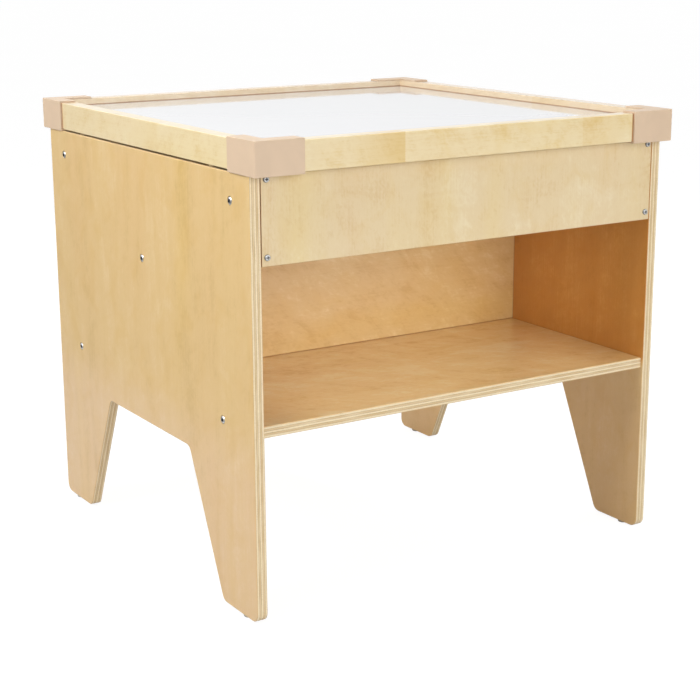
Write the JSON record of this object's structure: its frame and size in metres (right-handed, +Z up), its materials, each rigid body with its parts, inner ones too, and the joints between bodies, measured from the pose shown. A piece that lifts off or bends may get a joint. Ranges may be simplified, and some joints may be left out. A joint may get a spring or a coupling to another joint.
{
  "type": "sand and water table",
  "caption": "Square plywood play table with tapered legs, a full-depth shelf open front and back, and a framed white top that lifts off a basin with a drain.",
  "frame": {"origin": "on the floor under the middle of the table, at the bottom of the foot glides", "axes": "+Z up out of the play surface, front open bay towards -Y, side panels at -X and +X"},
  "size_m": [0.651, 0.651, 0.612],
  "materials": {
    "birch_plywood": "clear satin lacquer, layered edges",
    "birch_wood": "clear satin lacquer",
    "beige_plastic": "fine moulded texture",
    "white_gloss": "glossy",
    "basin_plastic": "smooth moulded",
    "drain_plastic": "moulded",
    "rubber": "matt",
    "zinc_steel": "zinc plated",
    "nylon": "smooth"
  },
  "bodies": {
    "cabinet": {"left_side_panel": "birch_plywood", "right_side_panel": "birch_plywood", "shelf": "birch_plywood", "center_divider": "birch_plywood", "front_access_panel": "birch_plywood", "back_access_panel": "birch_plywood", "front_cross_rail": "birch_plywood", "back_cross_rail": "birch_plywood", "corner_cleat_front_left": "birch_wood", "foot_glide_front_left": "nylon", "corner_cleat_front_right": "birch_wood", "foot_glide_front_right": "nylon", "corner_cleat_back_left": "birch_wood", "foot_glide_back_left": "nylon", "corner_cleat_back_right": "birch_wood", "foot_glide_back_right": "nylon", "shelf_bolts": "zinc_steel", "shelf_barrel_nuts": "zinc_steel", "cross_rail_bolts": "zinc_steel", "cross_rail_barrel_nuts": "zinc_steel", "divider_bolts": "zinc_steel", "divider_barrel_nuts": "zinc_steel", "cross_rail_dowels": "birch_wood", "divider_screws": "zinc_steel", "cleat_screws": "zinc_steel", "front_panel_screws": "zinc_steel", "back_panel_screws": "zinc_steel"},
    "basin": {"basin": "basin_plastic", "drain_fitting": "drain_plastic", "drain_gasket": "rubber", "drain_nut": "drain_plastic"},
    "lid": {"front_lid_rail": "birch_wood", "back_lid_rail": "birch_wood", "left_lid_rail": "birch_wood", "right_lid_rail": "birch_wood", "lid_panel": "white_gloss", "corner_cap_screws": "zinc_steel", "lid_pegs": "birch_wood", "corner_cap_front_left": "beige_plastic", "corner_cap_front_right": "beige_plastic", "corner_cap_back_left": "beige_plastic", "corner_cap_back_right": "beige_plastic"},
    "drain_plug": {"drain_plug": "rubber"}
  },
  "joints": [
    {"name": "basin_lift", "type": "slide", "parent": "cabinet", "child": "basin", "axis": [0, 0, 1], "range_m": [0, 0.2]},
    {"name": "lid_lift", "type": "slide", "parent": "basin", "child": "lid", "axis": [0, 0, 1], "range_m": [0, 0.25]},
    {"name": "plug_lift", "type": "slide", "parent": "basin", "child": "drain_plug", "axis": [0, 0, 1], "range_m": [0, 0.08]}
  ]
}
